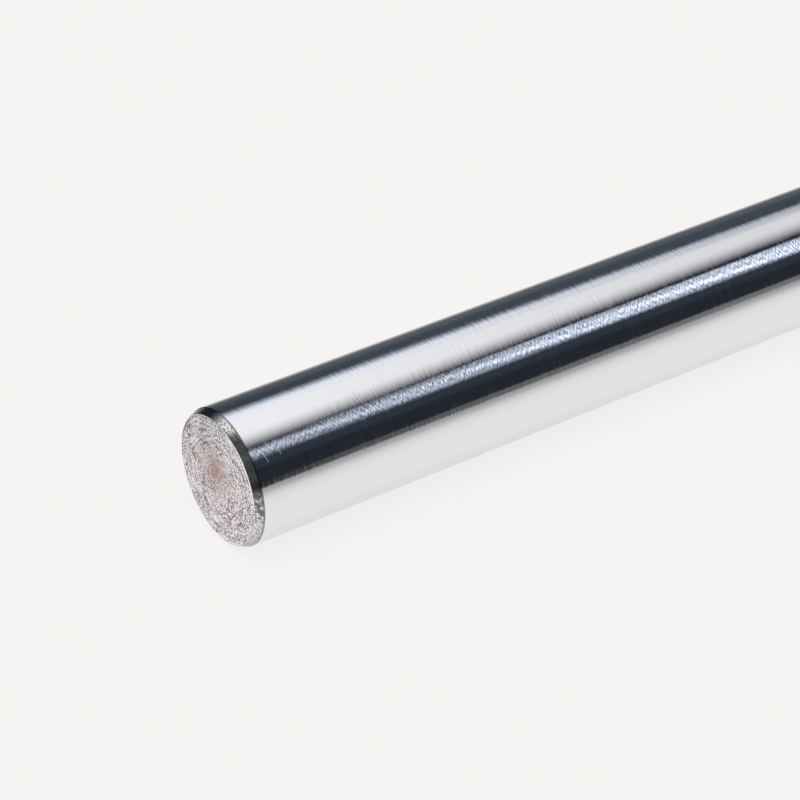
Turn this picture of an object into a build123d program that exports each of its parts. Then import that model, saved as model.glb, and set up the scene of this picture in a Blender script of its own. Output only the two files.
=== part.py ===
from build123d import *
import math
import os

# Hardened and ground linear shaft: one solid of steel, lying along X.
# The origin is on the shaft's axis, halfway between its two faced ends.
# Both ends are alike: a flat faced end, then a shallow lead-in chamfer that lets a
# ball bushing slide on without hurting its seal, then the ground outside.

# Driving dimensions, in millimetres and degrees
SHAFT_DIAMETER = 16.0  # ground outside, nominal size
SHAFT_LENGTH = 250.0  # cut length, from faced end to faced end
LEAD_IN_LENGTH = 1.0  # lead-in chamfer, measured along the axis
LEAD_IN_ANGLE = 25.0  # slope of the lead-in chamfer against the axis
FACE_EDGE_RADIUS = 0.15  # edge break between the faced end and the chamfer
GROUND_EDGE_RADIUS = 0.3  # edge break between the chamfer and the ground outside

# What follows from them
SHAFT_RADIUS = SHAFT_DIAMETER / 2
HALF_LENGTH = SHAFT_LENGTH / 2
GROUND_END = HALF_LENGTH - LEAD_IN_LENGTH
LEAD_IN_DROP = LEAD_IN_LENGTH * math.tan(math.radians(LEAD_IN_ANGLE))
FACE_RADIUS = SHAFT_RADIUS - LEAD_IN_DROP


def break_corners(section, corners, radius):
    """Round the corners of the section that stand at the given places."""
    found = [section.vertices().sort_by_distance(corner)[0] for corner in corners]
    fillet(found, radius)


def half_section():
    """Half of the lengthwise section, on one side of the axis, from faced end to faced end."""
    face_corners = [(-HALF_LENGTH, FACE_RADIUS), (HALF_LENGTH, FACE_RADIUS)]
    ground_corners = [(-GROUND_END, SHAFT_RADIUS), (GROUND_END, SHAFT_RADIUS)]
    outline = [
        (-HALF_LENGTH, 0),
        face_corners[0],
        ground_corners[0],
        ground_corners[1],
        face_corners[1],
        (HALF_LENGTH, 0),
    ]
    with BuildSketch(Plane.XY) as section:
        with BuildLine():
            Polyline(*outline, close=True)
        make_face()
        break_corners(section, face_corners, FACE_EDGE_RADIUS)
        break_corners(section, ground_corners, GROUND_EDGE_RADIUS)
    return section.sketch


def linear_shaft():
    """The section turned once round the axis."""
    with BuildPart() as shaft:
        add(half_section())
        revolve(axis=Axis.X)
    shaft.part.label = "linear_shaft"
    return shaft.part


os.makedirs("parts", exist_ok=True)
export_step(linear_shaft(), "parts/linear_shaft.step")
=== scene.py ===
"""Looks of a hardened and ground linear shaft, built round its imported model.

The shaft is one closed mesh, turned by Geometry Nodes from its own sizes: the ground outside and, at
each end, a lead-in chamfer and a faced end with the spiral that the facing tool left. Three steel
finishes dress it. The studio is a pale floor in a tent of long strips, which the steel mirrors.
Lengths are metres, or millimetres where a name says so. The strips are placed by their angle round
the shaft's axis: 0 is the horizon on the camera's side, 90 is overhead, 180 is the horizon behind.
"""
from __future__ import annotations

import logging
import math
from dataclasses import dataclass, field
from enum import Enum
from typing import Union

import bpy
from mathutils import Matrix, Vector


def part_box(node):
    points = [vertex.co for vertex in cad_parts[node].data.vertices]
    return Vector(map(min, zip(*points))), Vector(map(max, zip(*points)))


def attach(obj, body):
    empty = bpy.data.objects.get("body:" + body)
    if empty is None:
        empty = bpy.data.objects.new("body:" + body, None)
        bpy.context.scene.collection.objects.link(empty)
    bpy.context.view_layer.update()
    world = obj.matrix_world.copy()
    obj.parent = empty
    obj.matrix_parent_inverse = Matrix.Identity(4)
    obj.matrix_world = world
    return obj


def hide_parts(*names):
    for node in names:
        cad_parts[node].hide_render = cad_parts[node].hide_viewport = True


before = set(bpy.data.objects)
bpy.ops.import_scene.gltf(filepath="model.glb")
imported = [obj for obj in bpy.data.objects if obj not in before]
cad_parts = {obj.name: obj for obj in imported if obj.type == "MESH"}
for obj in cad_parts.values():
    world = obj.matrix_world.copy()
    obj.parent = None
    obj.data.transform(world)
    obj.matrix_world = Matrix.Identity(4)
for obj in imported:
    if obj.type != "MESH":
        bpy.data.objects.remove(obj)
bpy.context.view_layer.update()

LOG = logging.getLogger("linear_shaft")
MM = 0.001
QUARTER_TURN = math.pi / 2
CAD_NODE = "linear_shaft"
TOOL_MARK = "tool_mark"

Colour = tuple[float, float, float]


class TreeKind(Enum):
    """The two kinds of node tree that are made here."""

    SHAPE = "GeometryNodeTree"
    SHADER = "ShaderNodeTree"


class Socket(Enum):
    """What an input or output of a node group holds."""

    NUMBER = "NodeSocketFloat"
    COUNT = "NodeSocketInt"
    VECTOR = "NodeSocketVector"
    MATERIAL = "NodeSocketMaterial"
    MESH = "NodeSocketGeometry"


class BarEnd(Enum):
    """The shaft's two ends, by the side of X that each is on."""

    NEAR = -1.0
    FAR = 1.0


@dataclass(frozen=True)
class Num:
    """A number in a node tree, which arithmetic can be done on."""

    wiring: Wiring
    socket: bpy.types.NodeSocket

    def __add__(self, other: NumLike) -> Num:
        """Sum."""
        return self.wiring.math("ADD", self, other)

    def __radd__(self, other: NumLike) -> Num:
        """Sum, with the plain number first."""
        return self.wiring.math("ADD", other, self)

    def __sub__(self, other: NumLike) -> Num:
        """Difference."""
        return self.wiring.math("SUBTRACT", self, other)

    def __rsub__(self, other: NumLike) -> Num:
        """Difference, with the plain number first."""
        return self.wiring.math("SUBTRACT", other, self)

    def __mul__(self, other: NumLike) -> Num:
        """Product."""
        return self.wiring.math("MULTIPLY", self, other)

    def __rmul__(self, other: NumLike) -> Num:
        """Product, with the plain number first."""
        return self.wiring.math("MULTIPLY", other, self)

    def __truediv__(self, other: NumLike) -> Num:
        """Quotient."""
        return self.wiring.math("DIVIDE", self, other)

    def __rtruediv__(self, other: NumLike) -> Num:
        """Quotient, with the plain number on top."""
        return self.wiring.math("DIVIDE", other, self)


NumLike = Union[Num, float]


class Wiring:
    """Adds nodes to one tree and joins them."""

    def __init__(self, tree: bpy.types.NodeTree) -> None:
        """Keep the tree that the nodes go in."""
        self.tree = tree

    def node(
        self, kind: str, settings: dict[str, object] | None = None, **inputs: object
    ) -> bpy.types.Node:
        """Add one node.

        Args:
            kind: the node's type.
            settings: the node's own properties.
            inputs: what its inputs hold, by name with _ for a space, or i0, i1 and so on by place.

        Returns:
            The new node.
        """
        made = self.tree.nodes.new(kind)
        for name, value in (settings or {}).items():
            setattr(made, name, value)
        for name, value in inputs.items():
            by_place = name[0] == "i" and name[1:].isdigit()
            self.feed(made.inputs[int(name[1:]) if by_place else name.replace("_", " ")], value)
        return made

    def feed(self, socket: bpy.types.NodeSocket, value: object) -> None:
        """Set a socket's plain value, or join it to what feeds it."""
        if isinstance(value, Num):
            self.tree.links.new(value.socket, socket)
        elif isinstance(value, bpy.types.NodeSocket):
            self.tree.links.new(value, socket)
        else:
            socket.default_value = value

    def num(self, socket: bpy.types.NodeSocket) -> Num:
        """Wrap a socket for arithmetic."""
        return Num(self, socket)

    def math(self, operation: str, *values: NumLike, clamp: bool = False) -> Num:
        """Add one Math node and give its result."""
        made = self.node("ShaderNodeMath", {"operation": operation, "use_clamp": clamp})
        for socket, value in zip(made.inputs, values):
            self.feed(socket, value)
        return self.num(made.outputs[0])

    def ramp(self, value: NumLike, low: NumLike, high: NumLike) -> Num:
        """Give 0 below low, 1 above high and a smooth step between them."""
        settings = {"interpolation_type": "SMOOTHSTEP"}
        return self.num(self.node("ShaderNodeMapRange", settings, i0=value, i1=low, i2=high).outputs[0])

    def joined(self, x: NumLike, y: NumLike, z: NumLike) -> bpy.types.NodeSocket:
        """Join three numbers into a vector."""
        return self.node("ShaderNodeCombineXYZ", X=x, Y=y, Z=z).outputs[0]

    def split(self, vector: object) -> tuple[Num, Num, Num]:
        """Split a vector into its three numbers."""
        parts = self.node("ShaderNodeSeparateXYZ", Vector=vector).outputs
        return self.num(parts[0]), self.num(parts[1]), self.num(parts[2])

    def noise(self, place: object, seed: NumLike, scale: NumLike, detail: NumLike = 2.0) -> Num:
        """Give smooth noise between about 0.2 and 0.8, fixed by its seed."""
        settings = {"noise_dimensions": "4D"}
        made = self.node("ShaderNodeTexNoise", settings, Vector=place, W=seed, Scale=scale, Detail=detail)
        return self.num(made.outputs[0])

    def blend(self, share: NumLike, first: object, second: object) -> bpy.types.NodeSocket:
        """Blend two colours: the first where share is 0, the second where it is 1."""
        made = self.node("ShaderNodeMix", {"data_type": "RGBA"}, i0=share)
        for place, colour in ((6, first), (7, second)):
            self.feed(made.inputs[place], (*colour, 1.0) if isinstance(colour, tuple) else colour)
        return made.outputs[2]


class NodeGroup:
    """A node group with named inputs and outputs, and the wiring inside it."""

    def __init__(self, name: str, kind: TreeKind) -> None:
        """Make an empty group.

        Args:
            name: the group's name.
            kind: what the group works on.
        """
        self.tree = bpy.data.node_groups.new(name, kind.value)
        self.wiring = Wiring(self.tree)
        self.entry = self.tree.nodes.new("NodeGroupInput")
        self.exit = self.tree.nodes.new("NodeGroupOutput")

    def takes(self, name: str, default: object = None, kind: Socket = Socket.NUMBER) -> Num:
        """Add a named input.

        Args:
            name: the input's name.
            default: its value where nothing is joined to it.
            kind: what it holds.

        Returns:
            The input, ready for arithmetic.
        """
        socket = self.tree.interface.new_socket(name=name, in_out="INPUT", socket_type=kind.value)
        if default is not None:
            socket.default_value = default
        return self.wiring.num(self.entry.outputs[name])

    def gives(self, name: str, value: object, kind: Socket = Socket.NUMBER) -> None:
        """Add a named output and join it to what feeds it."""
        self.tree.interface.new_socket(name=name, in_out="OUTPUT", socket_type=kind.value)
        self.wiring.feed(self.exit.inputs[name], value)


@dataclass(frozen=True)
class LeadIn:
    """The turned end of the shaft: its chamfer, and the breaks of its two edges."""

    length: float = 1.0 * MM
    slope: float = math.radians(25.0)
    face_edge_radius: float = 0.15 * MM
    ground_edge_radius: float = 0.3 * MM


@dataclass(frozen=True)
class FacingMarks:
    """The spiral that the facing tool left: cut into the end, never proud of it."""

    pitch: float = 0.42 * MM
    depth: float = 0.014 * MM
    unevenness: float = 0.6
    calm_rim: float = 0.3 * MM
    dish_depth: float = 0.04 * MM
    dish_radius: float = 0.5 * MM
    seed: float = 7.0


@dataclass(frozen=True)
class RingCounts:
    """How many rings each stretch of the section is divided into, and the steps of a full turn."""

    full_turn: int = 256
    faced_end: int = 126
    face_edge: int = 6
    chamfer: int = 6
    ground_edge: int = 5
    ground_outside: int = 24


class TurningTrees:
    """The Geometry Nodes trees that turn the shaft: two kinds of stretch, one end, the whole bar."""

    WELD = 0.0006 * MM
    PATCHES_ROUND = 1.7

    def __init__(self) -> None:
        """Build each tree once."""
        self.straight = self._straight_stretch()
        self.edge_break = self._edge_break()
        self.end = self._turned_end()
        self.shaft = self._whole_shaft()

    @staticmethod
    def _grid(
        wiring: Wiring, rings: Num, steps: Num
    ) -> tuple[bpy.types.NodeSocket, Num, Num]:
        """Lay out a unit grid: along the section one way, round the axis the other.

        Args:
            wiring: the tree's wiring.
            rings: how many rings the stretch has.
            steps: how many steps the full turn has.

        Returns:
            The grid, and each point's share of the way along the section and of the full turn.
        """
        settings = {"Size_X": 1.0, "Size_Y": 1.0, "Vertices_X": rings + 1.0, "Vertices_Y": steps + 1.0}
        grid = wiring.node("GeometryNodeMeshGrid", **settings)
        x, y, _ = wiring.split(wiring.node("GeometryNodeInputPosition").outputs[0])
        return grid.outputs["Mesh"], x + 0.5, y + 0.5

    @staticmethod
    def _turned(
        wiring: Wiring, mesh: object, along: Num, radius: Num, turn: Num
    ) -> bpy.types.NodeSocket:
        """Move each grid point to its place on the turned surface, with the steel's outside facing out."""
        angle = turn * -math.tau
        across, up = radius * wiring.math("COSINE", angle), radius * wiring.math("SINE", angle)
        place = wiring.joined(along, across, up)
        return wiring.node("GeometryNodeSetPosition", Geometry=mesh, Position=place).outputs[0]

    def _straight_stretch(self) -> bpy.types.NodeTree:
        """Make the group for a flat, conical or cylindrical stretch, with the tool's spiral cut into it."""
        group = NodeGroup("turned_straight", TreeKind.SHAPE)
        wiring = group.wiring
        start_x, start_r = group.takes("Start Along"), group.takes("Start Radius")
        end_x, end_r = group.takes("End Along"), group.takes("End Radius", MM)
        rings, steps = group.takes("Rings", 8, Socket.COUNT), group.takes("Full Turn", 64, Socket.COUNT)
        pitch, depth = group.takes("Spiral Pitch", MM), group.takes("Spiral Depth")
        unevenness, calm_rim = group.takes("Unevenness"), group.takes("Calm Rim", 0.1 * MM)
        dish_depth, dish_radius = group.takes("Dish Depth"), group.takes("Dish Radius", 0.1 * MM)
        seed = group.takes("Seed")
        mesh, share, turn = self._grid(wiring, rings, steps)
        run_x, run_r = end_x - start_x, end_r - start_r
        length = wiring.math("SQRT", run_x * run_x + run_r * run_r)
        travel = share * length
        off_middle = wiring.math("FRACT", travel / pitch + turn) * 2.0 - 1.0
        angle = turn * math.tau
        round_place = wiring.joined(wiring.math("COSINE", angle), wiring.math("SINE", angle), travel / pitch)
        uneven = unevenness * wiring.noise(round_place, seed, self.PATCHES_ROUND)
        rim = wiring.ramp(wiring.math("MINIMUM", travel, length - travel), 0.0, calm_rim)
        mark = (1.0 - off_middle * off_middle) * (1.0 - uneven) * rim
        dish = dish_depth * (1.0 - wiring.ramp(travel, 0.0, dish_radius))
        sunk = mark * depth + dish
        along = start_x + share * run_x + sunk * run_r / length
        radius = start_r + share * run_r - sunk * run_x / length
        noted = wiring.node(
            "GeometryNodeStoreNamedAttribute", {"data_type": "FLOAT", "domain": "POINT"},
            Geometry=mesh, Name=TOOL_MARK, Value=mark * wiring.math("GREATER_THAN", depth, 0.0),
        )
        group.gives("Mesh", self._turned(wiring, noted.outputs[0], along, radius, turn), Socket.MESH)
        return group.tree

    def _edge_break(self) -> bpy.types.NodeTree:
        """Make the group for an edge break: an arc of the section, turned round the axis."""
        group = NodeGroup("turned_edge_break", TreeKind.SHAPE)
        wiring = group.wiring
        centre_x, centre_r = group.takes("Centre Along"), group.takes("Centre Radius", MM)
        edge_radius = group.takes("Edge Radius", 0.1 * MM)
        start, end = group.takes("Start Angle"), group.takes("End Angle", QUARTER_TURN)
        rings, steps = group.takes("Rings", 5, Socket.COUNT), group.takes("Full Turn", 64, Socket.COUNT)
        mesh, share, turn = self._grid(wiring, rings, steps)
        lean = start + share * (end - start)
        along = centre_x - edge_radius * wiring.math("COSINE", lean)
        radius = centre_r + edge_radius * wiring.math("SINE", lean)
        group.gives("Mesh", self._turned(wiring, mesh, along, radius, turn), Socket.MESH)
        return group.tree

    @staticmethod
    def _end_sizes(group: NodeGroup) -> dict[str, Num]:
        """Give a group the inputs that one end is made from, and list them by name."""
        lead_in, marks = LeadIn(), FacingMarks()
        sizes = {
            "Lead-in Length": lead_in.length,
            "Lead-in Slope": lead_in.slope,
            "Face Edge Radius": lead_in.face_edge_radius,
            "Ground Edge Radius": lead_in.ground_edge_radius,
            "Spiral Pitch": marks.pitch,
            "Spiral Depth": marks.depth,
        }
        listed = {name: group.takes(name, size) for name, size in sizes.items()}
        listed["Full Turn"] = group.takes("Full Turn", RingCounts().full_turn, Socket.COUNT)
        return listed

    def _turned_end(self) -> bpy.types.NodeTree:
        """Make the group for one whole end: its faced end at zero, and the bar towards +X."""
        group = NodeGroup("turned_end", TreeKind.SHAPE)
        wiring, marks, rings = group.wiring, FacingMarks(), RingCounts()
        shaft_radius, seed = group.takes("Shaft Radius", 8.0 * MM), group.takes("Seed", marks.seed)
        sizes = self._end_sizes(group)
        lead, slope, steps = sizes["Lead-in Length"], sizes["Lead-in Slope"], sizes["Full Turn"]
        face_edge, ground_edge = sizes["Face Edge Radius"], sizes["Ground Edge Radius"]
        sine, cosine = wiring.math("SINE", slope), wiring.math("COSINE", slope)
        corner_turn = QUARTER_TURN - slope
        face_radius = shaft_radius - lead * wiring.math("TANGENT", slope)
        flat_radius = face_radius - face_edge * wiring.math("TANGENT", corner_turn / 2.0)
        ground_start = lead + ground_edge * wiring.math("TANGENT", slope / 2.0)
        face = wiring.node(
            "GeometryNodeGroup", {"node_tree": self.straight}, End_Radius=flat_radius,
            Rings=rings.faced_end, Full_Turn=steps, Spiral_Pitch=sizes["Spiral Pitch"],
            Spiral_Depth=sizes["Spiral Depth"], Unevenness=marks.unevenness, Calm_Rim=marks.calm_rim,
            Dish_Depth=marks.dish_depth, Dish_Radius=marks.dish_radius, Seed=seed,
        )
        face_break = wiring.node(
            "GeometryNodeGroup", {"node_tree": self.edge_break}, Centre_Along=face_edge,
            Centre_Radius=flat_radius, Edge_Radius=face_edge, End_Angle=corner_turn,
            Rings=rings.face_edge, Full_Turn=steps,
        )
        chamfer = wiring.node(
            "GeometryNodeGroup", {"node_tree": self.straight},
            Start_Along=face_edge * (1.0 - sine), Start_Radius=flat_radius + face_edge * cosine,
            End_Along=ground_start - ground_edge * sine,
            End_Radius=shaft_radius - ground_edge * (1.0 - cosine), Rings=rings.chamfer, Full_Turn=steps,
        )
        ground_break = wiring.node(
            "GeometryNodeGroup", {"node_tree": self.edge_break}, Centre_Along=ground_start,
            Centre_Radius=shaft_radius - ground_edge, Edge_Radius=ground_edge, Start_Angle=corner_turn,
            Rings=rings.ground_edge, Full_Turn=steps,
        )
        whole = wiring.node("GeometryNodeJoinGeometry")
        for stretch in (face, face_break, chamfer, ground_break):
            wiring.feed(whole.inputs[0], stretch.outputs[0])
        group.gives("Mesh", whole.outputs[0], Socket.MESH)
        group.gives("Flat Radius", flat_radius)
        group.gives("Ground Start", ground_start)
        return group.tree

    def _whole_shaft(self) -> bpy.types.NodeTree:
        """Make the shaft's tree: both ends, the ground outside between them, and the three finishes."""
        group = NodeGroup("turned_shaft", TreeKind.SHAPE)
        group.tree.is_modifier = True
        wiring = group.wiring
        length, diameter = group.takes("Length", 250.0 * MM), group.takes("Diameter", 16.0 * MM)
        seed = group.takes("Seed", FacingMarks().seed)
        sizes = self._end_sizes(group)
        finishes = {name: group.takes(name, kind=Socket.MATERIAL) for name in ("Ground", "Chamfer", "Faced")}
        radius, half = diameter / 2.0, length / 2.0
        body = wiring.node("GeometryNodeJoinGeometry")
        for end in BarEnd:
            made = wiring.node("GeometryNodeGroup", {"node_tree": self.end}, Shaft_Radius=radius)
            wiring.feed(made.inputs["Seed"], seed + end.value)
            for name, size in sizes.items():
                wiring.feed(made.inputs[name], size)
            moved = wiring.node(
                "GeometryNodeTransform", Geometry=made.outputs["Mesh"],
                Translation=wiring.joined(half * end.value, 0.0, 0.0),
                Rotation=(0.0, 0.0, math.pi if end is BarEnd.FAR else 0.0),
            )
            wiring.feed(body.inputs[0], moved.outputs[0])
        ground_start, flat_radius = wiring.num(made.outputs["Ground Start"]), made.outputs["Flat Radius"]
        outside = wiring.node(
            "GeometryNodeGroup", {"node_tree": self.straight}, Start_Along=ground_start - half,
            Start_Radius=radius, End_Along=half - ground_start, End_Radius=radius,
            Rings=RingCounts().ground_outside, Full_Turn=sizes["Full Turn"],
        )
        wiring.feed(body.inputs[0], outside.outputs[0])
        welded = wiring.node("GeometryNodeMergeByDistance", Geometry=body.outputs[0], Distance=self.WELD)
        smooth = wiring.node("GeometryNodeSetShadeSmooth", Geometry=welded.outputs[0])
        real = wiring.node("GeometryNodeRealizeInstances", Geometry=smooth.outputs[0])
        x, y, z = wiring.split(wiring.node("GeometryNodeInputPosition").outputs[0])
        from_axis = wiring.math("SQRT", y * y + z * z)
        on_end = wiring.math("GREATER_THAN", wiring.math("ABSOLUTE", x), half - ground_start)
        on_face = on_end * wiring.math("LESS_THAN", from_axis, wiring.num(flat_radius))
        dressed = real.outputs[0]
        for name, where in (("Ground", True), ("Chamfer", on_end), ("Faced", on_face)):
            settings = {"Geometry": dressed, "Selection": where, "Material": finishes[name]}
            dressed = wiring.node("GeometryNodeSetMaterial", **settings).outputs[0]
        group.gives("Mesh", dressed, Socket.MESH)
        return group.tree


class SteelEffects:
    """Shader groups that more than one finish uses. They all work in millimetres on the shaft."""

    WAVERS_PER_MM = 0.3
    WAVER_SEED = 20.0

    def __init__(self) -> None:
        """Build each group once."""
        self.place = self._place()
        self.tool_lines = self._tool_lines()
        self.specks = self._specks()
        self.scratch = self._scratch()

    @staticmethod
    def _place() -> bpy.types.NodeTree:
        """Make the group that says where on the shaft a point is."""
        group = NodeGroup("place_on_shaft", TreeKind.SHADER)
        wiring = group.wiring
        x, y, z = wiring.split(group.takes("Point", kind=Socket.VECTOR))
        group.gives("From Near End", x)
        group.gives("From Axis", wiring.math("SQRT", y * y + z * z))
        group.gives("Angle", wiring.math("ARCTAN2", z, y * -1.0))
        return group.tree

    def _tool_lines(self) -> bpy.types.NodeTree:
        """Make the group for fine lines that run round the shaft: narrow along it, long round it."""
        group = NodeGroup("tool_lines", TreeKind.SHADER)
        wiring = group.wiring
        point = group.takes("Point", kind=Socket.VECTOR)
        x, y, z = wiring.split(point)
        per_mm, stretch = group.takes("Lines Per Mm", 4.0), group.takes("Stretch", 10.0)
        seed, detail = group.takes("Seed"), group.takes("Detail", 2.0)
        drift = wiring.noise(point, seed + self.WAVER_SEED, self.WAVERS_PER_MM, 0.0)
        waver = group.takes("Waver") * (drift - 0.5)
        across = per_mm / stretch
        place = wiring.joined((x + waver) * per_mm, y * across, z * across)
        group.gives("Height", wiring.noise(place, seed, 1.0, detail))
        return group.tree

    @staticmethod
    def _specks() -> bpy.types.NodeTree:
        """Make the group for small dark specks in the steel."""
        group = NodeGroup("steel_specks", TreeKind.SHADER)
        wiring = group.wiring
        point, per_mm = group.takes("Point", kind=Socket.VECTOR), group.takes("Specks Per Mm", 3.0)
        cover, edge, seed = group.takes("Cover", 0.5), group.takes("Edge", 0.05), group.takes("Seed")
        height = wiring.noise(point, seed, per_mm, group.takes("Detail", 2.0))
        group.gives("Mask", wiring.ramp(height, 1.0 - cover - edge, 1.0 - cover + edge))
        group.gives("Height", height)
        return group.tree

    @staticmethod
    def _scratch() -> bpy.types.NodeTree:
        """Make the group for one straight scratch: full to half its width, and gone at its edges."""
        group = NodeGroup("handling_scratch", TreeKind.SHADER)
        wiring = group.wiring
        along, angle = group.takes("From Near End"), group.takes("Angle")
        shaft_radius, width = group.takes("Shaft Radius", 8.0), group.takes("Width", 0.05)
        start_x, start_angle = group.takes("Start Along"), group.takes("Start Angle")
        end_x, end_angle = group.takes("End Along", 1.0), group.takes("End Angle")
        run_x, run_y = end_x - start_x, (end_angle - start_angle) * shaft_radius
        off_x, off_y = along - start_x, (angle - start_angle) * shaft_radius
        squared = run_x * run_x + run_y * run_y
        share = wiring.math("DIVIDE", off_x * run_x + off_y * run_y, squared, clamp=True)
        gap_x, gap_y = off_x - share * run_x, off_y - share * run_y
        gap = wiring.math("SQRT", gap_x * gap_x + gap_y * gap_y)
        group.gives("Mask", 1.0 - wiring.ramp(gap, width * 0.25, width * 0.5))
        return group.tree


class SteelSurface:
    """A steel material while its nodes are being joined."""

    def __init__(self, name: str, near_end: float) -> None:
        """Open a material that works in millimetres from the shaft's near end.

        Args:
            name: the material's name.
            near_end: where the near end is along X, in metres.
        """
        self.material = bpy.data.materials.new(name)
        self.material.use_nodes = True
        self.wiring = Wiring(self.material.node_tree)
        self.shader = self.material.node_tree.nodes["Principled BSDF"]
        self.shader.inputs["Metallic"].default_value = 1.0
        place = self.wiring.node("ShaderNodeTexCoord").outputs["Object"]
        to_mm = {"Location": (-near_end / MM, 0.0, 0.0), "Scale": (1 / MM, 1 / MM, 1 / MM)}
        self.point = self.wiring.node("ShaderNodeMapping", Vector=place, **to_mm).outputs[0]

    def group(self, tree: bpy.types.NodeTree, **inputs: object) -> bpy.types.Node:
        """Place a shared group in the material."""
        return self.wiring.node("ShaderNodeGroup", {"node_tree": tree}, **inputs)

    def finish(self, colour: object, roughness: object, height_mm: Num) -> bpy.types.Material:
        """Join colour, roughness and fine relief to the shader.

        Args:
            colour: the steel's colour.
            roughness: how rough it is.
            height_mm: the height of its fine relief, in millimetres.

        Returns:
            The finished material.
        """
        relief = self.wiring.node("ShaderNodeBump", Strength=1.0, Distance=MM, Height=height_mm)
        steel_colour = (*colour, 1.0) if isinstance(colour, tuple) else colour
        self.wiring.feed(self.shader.inputs["Base Color"], steel_colour)
        self.wiring.feed(self.shader.inputs["Roughness"], roughness)
        self.wiring.feed(self.shader.inputs["Normal"], relief.outputs[0])
        return self.material


@dataclass(frozen=True)
class LineSet:
    """One set of fine lines round the shaft. Each is longer than it is wide by its stretch."""

    per_mm: float
    stretch: float
    seed: float
    detail: float = 2.0
    waver_mm: float = 0.0

    def place(self, steel: SteelSurface, effects: SteelEffects, point: object) -> Num:
        """Place the lines in a material.

        Args:
            steel: the material.
            effects: the shared shader groups.
            point: where on the shaft a point is, in millimetres.

        Returns:
            The height of the lines, between about 0.2 and 0.8.
        """
        lined = steel.group(
            effects.tool_lines, Point=point, Lines_Per_Mm=self.per_mm, Stretch=self.stretch,
            Waver=self.waver_mm, Seed=self.seed, Detail=self.detail,
        )
        return steel.wiring.num(lined.outputs["Height"])


@dataclass(frozen=True)
class SpeckSet:
    """One set of specks: how fine they are, how much they cover, and how soft their edges are."""

    per_mm: float
    cover: float
    seed: float
    edge: float = 0.03
    detail: float = 2.0

    def place(
        self, steel: SteelSurface, effects: SteelEffects, more: NumLike = 0.0
    ) -> tuple[Num, Num]:
        """Place the specks in a material.

        Args:
            steel: the material.
            effects: the shared shader groups.
            more: how much more they cover, where that isn't the same all over.

        Returns:
            The mask of the specks, and the height that they are cut from.
        """
        made = steel.group(
            effects.specks, Point=steel.point, Specks_Per_Mm=self.per_mm, Cover=self.cover + more,
            Edge=self.edge, Seed=self.seed, Detail=self.detail,
        )
        return steel.wiring.num(made.outputs["Mask"]), steel.wiring.num(made.outputs["Height"])


@dataclass(frozen=True)
class Scratch:
    """One handling scratch on the ground outside, from the near end and by angle round the axis."""

    start_mm: float
    start_deg: float
    end_mm: float
    end_deg: float
    width_mm: float = 0.14
    depth_mm: float = 0.003


@dataclass(frozen=True)
class GroundFinish:
    """The ground and polished outside, with the wheel's marks running round it."""

    colour: Colour = (0.8, 0.803, 0.835)
    roughness: float = 0.07
    roughness_spread: float = 0.07
    fine_lines: LineSet = LineSet(3.1, 7.0, 1.0, 0.5, 0.5)
    fine_height_mm: float = 0.0095
    long_lines: LineSet = LineSet(1.3, 13.0, 2.0, 0.5, 0.5)
    long_height_mm: float = 0.0018
    dull_lines: LineSet = LineSet(2.6, 13.0, 3.0, 0.5, 0.5)
    dull_from_to: tuple[float, float] = (0.45, 0.75)
    lengthwise_blur: float = 0.2
    blur_turn: float = 0.25
    scratch_roughness: float = 0.2
    scratches: tuple[Scratch, ...] = (
        Scratch(15.58, 66.0, 15.5, 58.5),
        Scratch(16.15, 62.5, 15.5, 58.5),
        Scratch(2.51, 47.5, 2.68, 39.0, 0.2, 0.008),
        Scratch(4.42, 44.6, 4.4, 41.3, 0.16, 0.006),
        Scratch(15.21, 45.0, 15.05, 35.0, 0.1),
        Scratch(45.16, 54.5, 44.86, 45.0, 0.2, 0.008),
        Scratch(46.05, 73.0, 45.91, 64.5, 0.18, 0.008),
        Scratch(33.0, 107.2, 33.05, 105.6, 0.5, 0.018),
    )

    def build(self, effects: SteelEffects, near_end: float, shaft_radius: float) -> bpy.types.Material:
        """Make the material.

        Args:
            effects: the shared shader groups.
            near_end: where the near end is along X, in metres.
            shaft_radius: the shaft's radius, in metres.

        Returns:
            The finished material.
        """
        steel = SteelSurface("ground_outside", near_end)
        wiring = steel.wiring
        place = steel.group(effects.place, Point=steel.point)
        fine = self.fine_lines.place(steel, effects, steel.point)
        long = self.long_lines.place(steel, effects, steel.point)
        height = fine * self.fine_height_mm + long * self.long_height_mm
        scarred: NumLike = 0.0
        for scratch in self.scratches:
            mark = steel.group(
                effects.scratch, From_Near_End=place.outputs["From Near End"],
                Angle=place.outputs["Angle"], Shaft_Radius=shaft_radius / MM, Width=scratch.width_mm,
                Start_Along=scratch.start_mm, Start_Angle=math.radians(scratch.start_deg),
                End_Along=scratch.end_mm, End_Angle=math.radians(scratch.end_deg),
            )
            mask = wiring.num(mark.outputs["Mask"])
            height = height - mask * scratch.depth_mm
            scarred = mask + scarred
        dull = wiring.ramp(self.dull_lines.place(steel, effects, steel.point), *self.dull_from_to)
        steel.shader.inputs["Anisotropic"].default_value = self.lengthwise_blur
        steel.shader.inputs["Anisotropic Rotation"].default_value = self.blur_turn
        round_axis = wiring.node("ShaderNodeTangent", {"direction_type": "RADIAL", "axis": "X"})
        wiring.feed(steel.shader.inputs["Tangent"], round_axis.outputs[0])
        rougher = dull * self.roughness_spread + scarred * self.scratch_roughness
        return steel.finish(self.colour, rougher + self.roughness, height)


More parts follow.
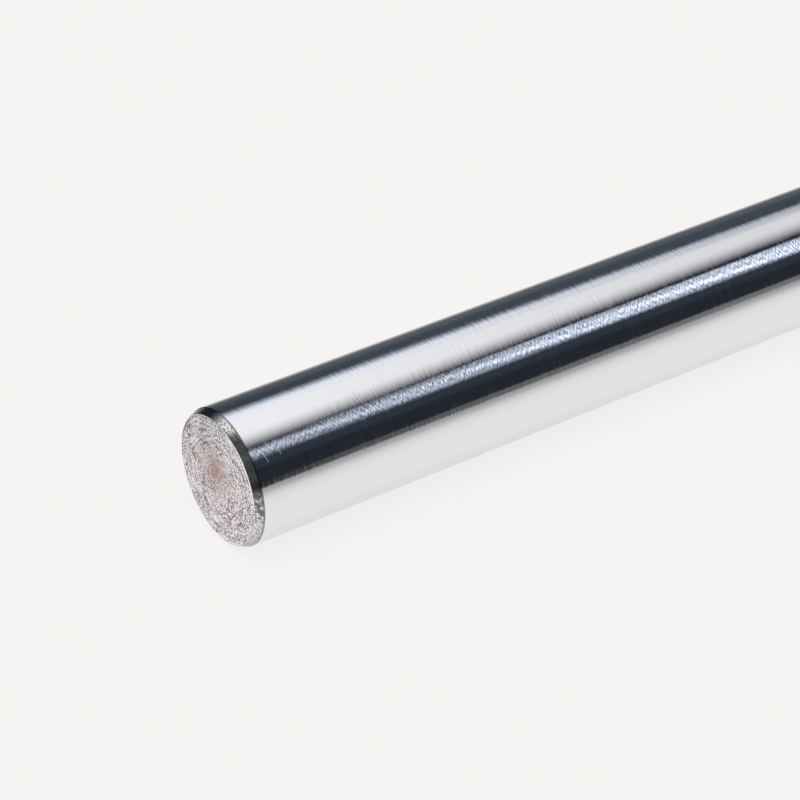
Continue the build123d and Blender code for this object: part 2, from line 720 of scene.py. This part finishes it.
@dataclass(frozen=True)
class GrimeAndShadeBand:
    """A dark band across the chamfer, by its place and half width round the axis: grime where flecks carry
    it, painted shade where it stands alone.
    """

    middle_deg: float
    half_deg: float
    strength: float
    full_share: float = 0.4

    def over(self, wiring: Wiring, angle: Num) -> Num:
        """Say how much of the band there is at an angle round the axis."""
        off_middle = wiring.math("ABSOLUTE", angle * math.degrees(1.0) - self.middle_deg)
        faded = wiring.ramp(off_middle, self.half_deg * self.full_share, self.half_deg)
        return (1.0 - faded) * self.strength


@dataclass(frozen=True)
class ChamferFinish:
    """The turned lead-in: darkly specked, with bands of painted shade round the axis, between a bright edge
    of painted highlight and a dark edge.
    """

    colour: Colour = (0.82, 0.79, 0.81)
    lines: LineSet = LineSet(7.0, 14.0, 4.0)
    line_height_mm: float = 0.003
    specks: SpeckSet = SpeckSet(6.8, 0.49, 5.0)
    speck_height_mm: float = 0.007
    # The dark of the specks and grime, also used for the bands of painted shade.
    speck_and_shade_colour: Colour = (0.1, 0.09, 0.085)
    speck_share: float = 0.7
    face_edge_mm: tuple[float, float] = (7.53, 7.57)
    # A white line along the face edge: a painted highlight.
    face_edge_highlight_colour: Colour = (1.0, 1.0, 1.0)
    ground_edge_mm: tuple[float, float] = (7.92, 7.95)
    ground_edge_colour: Colour = (0.2, 0.2, 0.21)
    ground_edge_share: float = 0.8
    flecks: SpeckSet = SpeckSet(2.8, 0.52, 11.0)
    grime: GrimeAndShadeBand = GrimeAndShadeBand(6.0, 20.0, 0.85)
    # These bands are painted shade: dark bands placed by angle round the axis, where the chamfer's
    # reflections are darkened.
    painted_shades: tuple[GrimeAndShadeBand, ...] = (
        GrimeAndShadeBand(20.0, 10.0, 0.68),
        GrimeAndShadeBand(64.5, 8.0, 0.6),
        GrimeAndShadeBand(91.0, 6.5, 0.5),
        GrimeAndShadeBand(-42.0, 34.0, 0.16),
        GrimeAndShadeBand(-56.0, 24.0, 0.42),
    )
    roughness: float = 0.08
    speck_roughness: float = 0.1
    face_edge_roughness: float = 0.42
    # The painted highlight is full above 25 degrees round the axis and weakest below -10.
    face_edge_highlight_deg: tuple[float, float] = (-10.0, 25.0)
    face_edge_least_highlight: float = 0.35

    def build(self, effects: SteelEffects, near_end: float) -> bpy.types.Material:
        """Make the material.

        Args:
            effects: the shared shader groups.
            near_end: where the near end is along X, in metres.

        Returns:
            The finished material.
        """
        steel = SteelSurface("turned_chamfer", near_end)
        wiring = steel.wiring
        place = steel.group(effects.place, Point=steel.point)
        from_axis, angle = wiring.num(place.outputs["From Axis"]), wiring.num(place.outputs["Angle"])
        lines = self.lines.place(steel, effects, steel.point)
        mask, speck_height = self.specks.place(steel, effects)
        flecks, _ = self.flecks.place(steel, effects)
        height = lines * self.line_height_mm + speck_height * self.speck_height_mm
        colour = wiring.blend(mask * self.speck_share, self.colour, self.speck_and_shade_colour)
        colour = wiring.blend(flecks * self.grime.over(wiring, angle), colour, self.speck_and_shade_colour)
        # Painted shade: each band darkens the chamfer by its angle round the axis.
        for shade_band in self.painted_shades:
            colour = wiring.blend(shade_band.over(wiring, angle), colour, self.speck_and_shade_colour)
        to_ground = wiring.ramp(from_axis, *self.ground_edge_mm)
        to_face = 1.0 - wiring.ramp(from_axis, *self.face_edge_mm)
        colour = wiring.blend(to_ground * self.ground_edge_share, colour, self.ground_edge_colour)
        # Painted highlight: a white line along the face edge, stronger on the upper side.
        least = self.face_edge_least_highlight
        highlight_side = wiring.ramp(angle * math.degrees(1.0), *self.face_edge_highlight_deg) * (1.0 - least) + least
        colour = wiring.blend(to_face * highlight_side, colour, self.face_edge_highlight_colour)
        turned = mask * self.speck_roughness + self.roughness
        roughness = turned + to_face * (self.face_edge_roughness - turned)
        return steel.finish(colour, roughness, height * (1.0 - to_face))


@dataclass(frozen=True)
class Blot:
    """A brownish blot on the faced end, placed from the axis with Y to the back and Z up."""

    y_mm: float
    z_mm: float
    radius_mm: float
    strength: float


@dataclass(frozen=True)
class FacedFinish:
    """The faced end: a rough turned face, speckled dark and light, with arcs left by the tool.

    A pair that names a band of heights runs from where nothing of the colour shows to where all does.
    """

    colour: Colour = (0.66, 0.615, 0.655)
    dark_colour: Colour = (0.14, 0.085, 0.09)
    light_colour: Colour = (1.0, 0.97, 0.99)
    stain_colour: Colour = (0.42, 0.26, 0.2)
    roughness: float = 0.4
    speck_roughness: float = 0.15
    patches: SpeckSet = SpeckSet(0.45, 0.5, 7.0, 0.04)
    grain: SpeckSet = SpeckSet(6.2, 0.4, 6.0, 0.04, 0.0)
    grain_height_mm: float = 0.03
    more_grain_in_patches: float = 0.06
    dark_share: float = 0.68
    darker_in_patches: float = 0.2
    light_grain: tuple[float, float] = (0.475, 0.4)
    arcs: LineSet = LineSet(3.2, 6.0, 9.0)
    arc_radius_mm: float = 6.0
    arc_least_radius_mm: float = 0.3
    arc_depth_mm: float = 0.02
    arc_share: float = 0.7
    light_arcs: tuple[float, float] = (0.45, 0.35)
    dark_arcs: tuple[float, float] = (0.55, 0.65)
    tool_marks: tuple[float, float] = (0.6, 1.0)
    tool_mark_share: float = 0.2
    blots: tuple[Blot, ...] = (
        Blot(0.1, 1.2, 1.9, 0.64),
        Blot(0.5, 1.0, 5.0, 0.5),
        Blot(1.6, 5.4, 2.6, 0.16),
        Blot(3.15, -5.2, 0.6, 0.6),
        Blot(1.8, -4.6, 1.6, 0.2),
    )
    rim_mm: tuple[float, float] = (7.36, 7.42)
    rim_side_mm: tuple[float, float] = (1.0, 4.0)
    rim_share: float = 0.8

    def build(self, effects: SteelEffects, near_end: float) -> bpy.types.Material:
        """Make the material.

        Args:
            effects: the shared shader groups.
            near_end: where the near end is along X, in metres.

        Returns:
            The finished material.
        """
        steel = SteelSurface("faced_end", near_end)
        wiring = steel.wiring
        place = steel.group(effects.place, Point=steel.point)
        from_axis = wiring.num(place.outputs["From Axis"])
        _, y, z = wiring.split(steel.point)
        patch, _ = self.patches.place(steel, effects)
        dark, height = self.grain.place(steel, effects, patch * self.more_grain_in_patches)
        mark = wiring.num(wiring.node("ShaderNodeAttribute", {"attribute_name": TOOL_MARK}).outputs["Fac"])
        off_middle = wiring.math("MAXIMUM", from_axis, self.arc_least_radius_mm)
        spread = wiring.math("DIVIDE", self.arc_radius_mm, off_middle)
        arc = self.arcs.place(steel, effects, wiring.joined(from_axis, y * spread, z * spread))
        colour: object = self.colour
        for share, tint in (
            (wiring.ramp(height, *self.light_grain), self.light_colour),
            (dark * (self.dark_share + patch * self.darker_in_patches), self.dark_colour),
            (wiring.ramp(arc, *self.light_arcs) * self.arc_share, self.light_colour),
            (wiring.ramp(arc, *self.dark_arcs) * self.arc_share, self.dark_colour),
            (wiring.ramp(mark, *self.tool_marks) * self.tool_mark_share, self.dark_colour),
        ):
            colour = wiring.blend(share, colour, tint)
        for blot in self.blots:
            gap_y, gap_z = y - blot.y_mm, z - blot.z_mm
            gap = wiring.math("SQRT", gap_y * gap_y + gap_z * gap_z)
            inside = 1.0 - wiring.ramp(gap, 0.0, blot.radius_mm)
            colour = wiring.blend(inside * blot.strength, colour, self.stain_colour)
        rim = wiring.ramp(from_axis, *self.rim_mm) * wiring.ramp(y, *self.rim_side_mm)
        colour = wiring.blend(rim * self.rim_share, colour, self.dark_colour)
        roughness = dark * self.speck_roughness + self.roughness
        return steel.finish(colour, roughness, height * self.grain_height_mm - arc * self.arc_depth_mm)


@dataclass
class LinearShaft:
    """The shaft itself: one turned piece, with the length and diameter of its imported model."""

    name: str = "shaft_body"
    length: float = 0.25
    diameter: float = 0.016
    ground: GroundFinish = field(default_factory=GroundFinish)
    chamfer: ChamferFinish = field(default_factory=ChamferFinish)
    faced: FacedFinish = field(default_factory=FacedFinish)

    @classmethod
    def from_frame(cls, node: str) -> LinearShaft:
        """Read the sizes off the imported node, whose sides along Y are its full diameter."""
        low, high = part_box(node)
        return cls(length=high.x - low.x, diameter=high.y - low.y)

    def dress(self) -> dict[str, bpy.types.Material]:
        """Make the three finishes, by the names that the shaft's tree gives them."""
        effects, near_end = SteelEffects(), -self.length / 2
        return {
            "Ground": self.ground.build(effects, near_end, self.diameter / 2),
            "Chamfer": self.chamfer.build(effects, near_end),
            "Faced": self.faced.build(effects, near_end),
        }

    def build(self) -> bpy.types.Object:
        """Turn the shaft and put it in the frame.

        Returns:
            The finished piece, riding on its body.
        """
        tree = TurningTrees().shaft
        piece = bpy.data.objects.new(self.name, bpy.data.meshes.new(self.name))
        bpy.context.scene.collection.objects.link(piece)
        turning = piece.modifiers.new("turning", "NODES")
        turning.node_group = tree
        wanted = {"Length": self.length, "Diameter": self.diameter, **self.dress()}
        for socket in tree.interface.items_tree:
            if socket.in_out == "INPUT" and socket.name in wanted:
                turning[socket.identifier] = wanted[socket.name]
        seen = bpy.context.evaluated_depsgraph_get()
        turned = bpy.data.meshes.new_from_object(piece.evaluated_get(seen), depsgraph=seen)
        piece.modifiers.remove(turning)
        piece.data = turned
        turned.name = self.name
        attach(piece, "root")
        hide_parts(CAD_NODE)
        return piece


@dataclass(frozen=True)
class Pale:
    """The pale ground that the shaft lies on, and how much of its brightness doesn't depend on shadow."""

    colour: Colour = (0.913, 0.905, 0.888)
    steady_share: float = 0.88
    steady_share_in_steel: float = 0.6


@dataclass(frozen=True)
class Floor:
    """A level floor that the shaft lies on. In the steel it shows a painted pool of light that dims away
    from the shaft.
    """

    level: float
    half_side: float = 3.0
    fall: float = 2.5
    near_level: float = 1.07
    front_reach: float = 0.066
    front_far_level: float = 0.47
    back_reach: float = 0.04
    back_far_level: float = 0.12

    def build(self, pale: Pale) -> bpy.types.Object:
        """Make the floor.

        Args:
            pale: its colour.

        Returns:
            The floor, which isn't part of the object.
        """
        ways = ((-1.0, -1.0), (1.0, -1.0), (1.0, 1.0), (-1.0, 1.0))
        corners = [(x * self.half_side, y * self.half_side, self.level) for x, y in ways]
        mesh = bpy.data.meshes.new("floor")
        mesh.from_pydata(corners, [], [(0, 1, 2, 3)])
        mesh.materials.append(self._material(pale))
        floor = bpy.data.objects.new("floor", mesh)
        bpy.context.scene.collection.objects.link(floor)
        return floor

    def _material(self, pale: Pale) -> bpy.types.Material:
        """Make the floor's material: mostly steady, with a part that takes the shaft's shadow."""
        material = bpy.data.materials.new("pale_floor")
        material.use_nodes = True
        material.node_tree.nodes.clear()
        wiring = Wiring(material.node_tree)
        _, y, _ = wiring.split(wiring.node("ShaderNodeTexCoord").outputs["Object"])
        # In the steel the floor's brightness is a painted pool of light round the shaft: brightest beside
        # it, dimmer to the front and dimmest behind.
        at_back = wiring.math("GREATER_THAN", y, 0.0)
        reach = wiring.math("MAXIMUM", y / -self.front_reach, y / self.back_reach)
        far_level = self.front_far_level + at_back * (self.back_far_level - self.front_far_level)
        painted_light_pool = far_level + (self.near_level - far_level) / (1.0 + wiring.math("POWER", reach, self.fall))
        in_steel = wiring.num(wiring.node("ShaderNodeLightPath").outputs["Is Glossy Ray"])
        level = 1.0 + in_steel * (painted_light_pool - 1.0)
        share = pale.steady_share + in_steel * (pale.steady_share_in_steel - pale.steady_share)
        left = level * (1.0 - share)
        steady = wiring.node("ShaderNodeEmission", Color=(*pale.colour, 1.0), Strength=level * share)
        tint = wiring.joined(*(left * part for part in pale.colour))
        shaded = wiring.node("ShaderNodeBsdfDiffuse", Color=tint)
        both = wiring.node("ShaderNodeAddShader", i0=steady.outputs[0], i1=shaded.outputs[0])
        wiring.node("ShaderNodeOutputMaterial", Surface=both.outputs[0])
        return material


@dataclass(frozen=True)
class Strip:
    """One long strip of the tent, as the steel mirrors it.

    Its level goes from one abeam to one endward, between two shares of endward direction. Endward it
    leans upward and narrows by its taper on either side. With a low ease under 1 its low side fades in
    quickly at first. With a ripple it is a row of small lamps, which the wheel's marks catch one by one.
    """

    low_deg: float
    high_deg: float
    low_soft_deg: float
    high_soft_deg: float
    colour: Colour
    abeam_level: float
    end_level: float
    change: tuple[float, float] = (0.33, 0.62)
    taper_deg: float = 0.0
    low_ease: float = 1.0
    lean_deg: float = 0.0
    ripple: float = 0.0
    ripple_pitch: float = 0.06
    ripple_turn_deg: float = 12.0

    def over(self, wiring: Wiring, angle: Num, endward: Num, seen: object) -> bpy.types.NodeSocket:
        """Lay the strip over what is seen so far.

        Args:
            wiring: the world's wiring.
            angle: the direction's angle round the axis, in degrees.
            endward: how far the direction points to either end, from 0 to 1.
            seen: the colour without the strip.

        Returns:
            The colour with the strip.
        """
        toward_end = wiring.ramp(endward, *self.change)
        level = self.abeam_level + toward_end * (self.end_level - self.abeam_level)
        if self.ripple:
            phase = endward / self.ripple_pitch + angle / self.ripple_turn_deg
            level = level * (wiring.math("SINE", phase * math.tau) * self.ripple + 1.0)
        lit = wiring.joined(*(level * part for part in self.colour))
        low_edge = toward_end * (self.lean_deg + self.taper_deg) + self.low_deg
        high_edge = toward_end * (self.lean_deg - self.taper_deg) + self.high_deg
        above_low = (angle - low_edge) / self.low_soft_deg
        above_high = (angle - high_edge) / self.high_soft_deg
        rise = wiring.math("POWER", wiring.ramp(above_low, -0.5, 0.5), self.low_ease)
        return wiring.blend(rise * (1.0 - wiring.ramp(above_high, -0.5, 0.5)), seen, lit)


@dataclass(frozen=True)
class Tent:
    """The world: pale to the camera, plain white as light, and a tent of strips in the steel."""

    lamp_share: float = 0.4
    dark: Colour = (0.019, 0.024, 0.032)
    strips: tuple[Strip, ...] = (
        Strip(33.0, 50.0, 8.0, 3.0, (0.75, 1.0, 1.35), 0.04, 0.04),
        Strip(143.0, 200.0, 3.0, 3.0, (0.75, 0.95, 1.2), 0.025, 0.075, (0.2, 0.5)),
        Strip(168.0, 200.0, 20.0, 3.0, (0.75, 0.95, 1.2), 0.03, 0.13, (0.2, 0.5)),
        Strip(2.0, 10.3, 3.0, 2.5, (1.0, 0.985, 0.95), 0.0, 0.2, (0.3, 0.62)),
        Strip(-60.0, 2.0, 4.0, 4.0, (1.0, 0.985, 1.03), 0.45, 0.45),
        Strip(51.0, 67.0, 12.0, 3.5, (0.9, 1.0, 1.19), 0.0, 0.68, (0.35, 0.62), -2.0, 1.0, 2.0, 0.95),
        Strip(51.0, 62.5, 14.0, 9.0, (0.9, 1.0, 1.19), 0.58, 1.02, (0.46, 0.55), 0.3, 1.0, 0.3, 0.95),
        Strip(118.0, 140.5, 20.0, 22.0, (0.91, 0.985, 1.11), 0.97, 0.93, (0.4, 0.62), 8.5),
        Strip(81.0, 131.5, 29.0, 22.0, (1.0, 0.995, 1.005), 1.05, 0.83, (0.4, 0.62), 8.2, 0.6, 1.3),
    )
    lowest_deg: float = -90.0
    camera_gap: tuple[float, float] = (-0.52, -0.342)
    gap_soft: float = 0.03
    gap_colour: Colour = (0.077, 0.083, 0.086)
    gap_depth: float = 0.94
    end_wall: Colour = (0.8, 0.8, 0.81)
    end_wall_from: float = 0.7
    end_wall_to: float = 0.86

    def build(self, pale: Pale) -> bpy.types.World:
        """Make the world.

        Args:
            pale: the colour that the camera sees behind the shaft.

        Returns:
            The world, set as the scene's own.
        """
        world = bpy.data.worlds.new("tent")
        bpy.context.scene.world = world
        world.use_nodes = True
        world.cycles.sampling_method = "NONE"
        wiring = Wiring(world.node_tree)
        background = world.node_tree.nodes["Background"]
        x, y, z = wiring.split(wiring.node("ShaderNodeTexCoord").outputs["Generated"])
        degrees = wiring.math("ARCTAN2", z, y * -1.0) * math.degrees(1.0)
        angle = wiring.math("WRAP", degrees, self.lowest_deg + 360.0, self.lowest_deg)
        endward = wiring.math("ABSOLUTE", x)
        seen: object = self.dark
        for strip in self.strips:
            seen = strip.over(wiring, angle, endward, seen)
        far_side, near_side = self.camera_gap
        in_gap = wiring.ramp(x, far_side - self.gap_soft, far_side)
        in_gap = in_gap * (1.0 - wiring.ramp(x, near_side, near_side + self.gap_soft))
        seen = wiring.blend(in_gap * self.gap_depth, seen, self.gap_colour)
        walled = wiring.ramp(endward, self.end_wall_from, self.end_wall_to)
        seen = wiring.blend(walled, seen, self.end_wall)
        path = wiring.node("ShaderNodeLightPath").outputs
        light = 1.0 - self.lamp_share
        shown = wiring.blend(wiring.num(path["Is Glossy Ray"]), (light, light, light), seen)
        camera, glass = wiring.num(path["Is Camera Ray"]), wiring.num(path["Is Transmission Ray"])
        straight = wiring.math("MAXIMUM", camera, glass)
        wiring.feed(background.inputs["Color"], wiring.blend(straight, shown, pale.colour))
        return world


@dataclass(frozen=True)
class KeyLamp:
    """The soft key lamp. It lights what isn't mirror-like and casts the soft shadow."""

    share: float
    tilt_deg: float = 30.0
    bearing_deg: float = -60.0
    softness_deg: float = 50.0

    def build(self) -> bpy.types.Object:
        """Make the lamp, as bright on a level surface as its share of plain white light."""
        lamp = bpy.data.lights.new("key", "SUN")
        lamp.angle = math.radians(self.softness_deg)
        lamp.energy = self.share * math.pi / math.cos(math.radians(self.tilt_deg))
        placed = bpy.data.objects.new("key", lamp)
        placed.rotation_euler = (math.radians(self.tilt_deg), 0.0, math.radians(self.bearing_deg))
        placed.visible_glossy = False
        bpy.context.scene.collection.objects.link(placed)
        return placed


@dataclass(frozen=True)
class PhotoCamera:
    """The camera at the photograph's viewing angle, placed from the middle of the near face."""

    from_near_face_mm: tuple[float, float, float] = (-127.06, -219.596, 179.132)
    bearing_deg: float = 55.487
    down_deg: float = 33.705
    lens_mm: float = 129.09
    nearest: float = 0.01

    def build(self, near_end: float) -> bpy.types.Object:
        """Make the camera and give it to the scene.

        Args:
            near_end: where the near end is along X, in metres.

        Returns:
            The camera.
        """
        camera = bpy.data.cameras.new("camera")
        camera.lens = self.lens_mm
        camera.clip_start = self.nearest
        placed = bpy.data.objects.new("camera", camera)
        x, y, z = (part * MM for part in self.from_near_face_mm)
        placed.location = (near_end + x, y, z)
        down, bearing = math.radians(self.down_deg), math.radians(self.bearing_deg)
        placed.rotation_euler = (QUARTER_TURN - down, 0.0, bearing - QUARTER_TURN)
        bpy.context.scene.collection.objects.link(placed)
        bpy.context.scene.camera = placed
        return placed


def main() -> None:
    """Build the camera, the shaft and the studio, and report each."""
    logging.basicConfig(level=logging.INFO, format="%(name)s: %(message)s")
    bpy.context.scene.view_settings.view_transform = "Standard"
    shaft = LinearShaft.from_frame(CAD_NODE)
    camera = PhotoCamera().build(-shaft.length / 2)
    LOG.info("%s at %s", camera.name, tuple(round(part, 4) for part in camera.location))
    piece = shaft.build()
    faces, finishes = len(piece.data.polygons), len(piece.data.materials)
    LOG.info("%s has %d faces in %d finishes", piece.name, faces, finishes)
    pale, tent = Pale(), Tent()
    floor = Floor(level=-shaft.diameter / 2).build(pale)
    LOG.info("%s at %.4f", floor.name, -shaft.diameter / 2)
    world, lamp = tent.build(pale), KeyLamp(tent.lamp_share).build()
    LOG.info("%s has %d strips, and lamp %s", world.name, len(tent.strips), lamp.name)


if __name__ == "__main__":
    main()
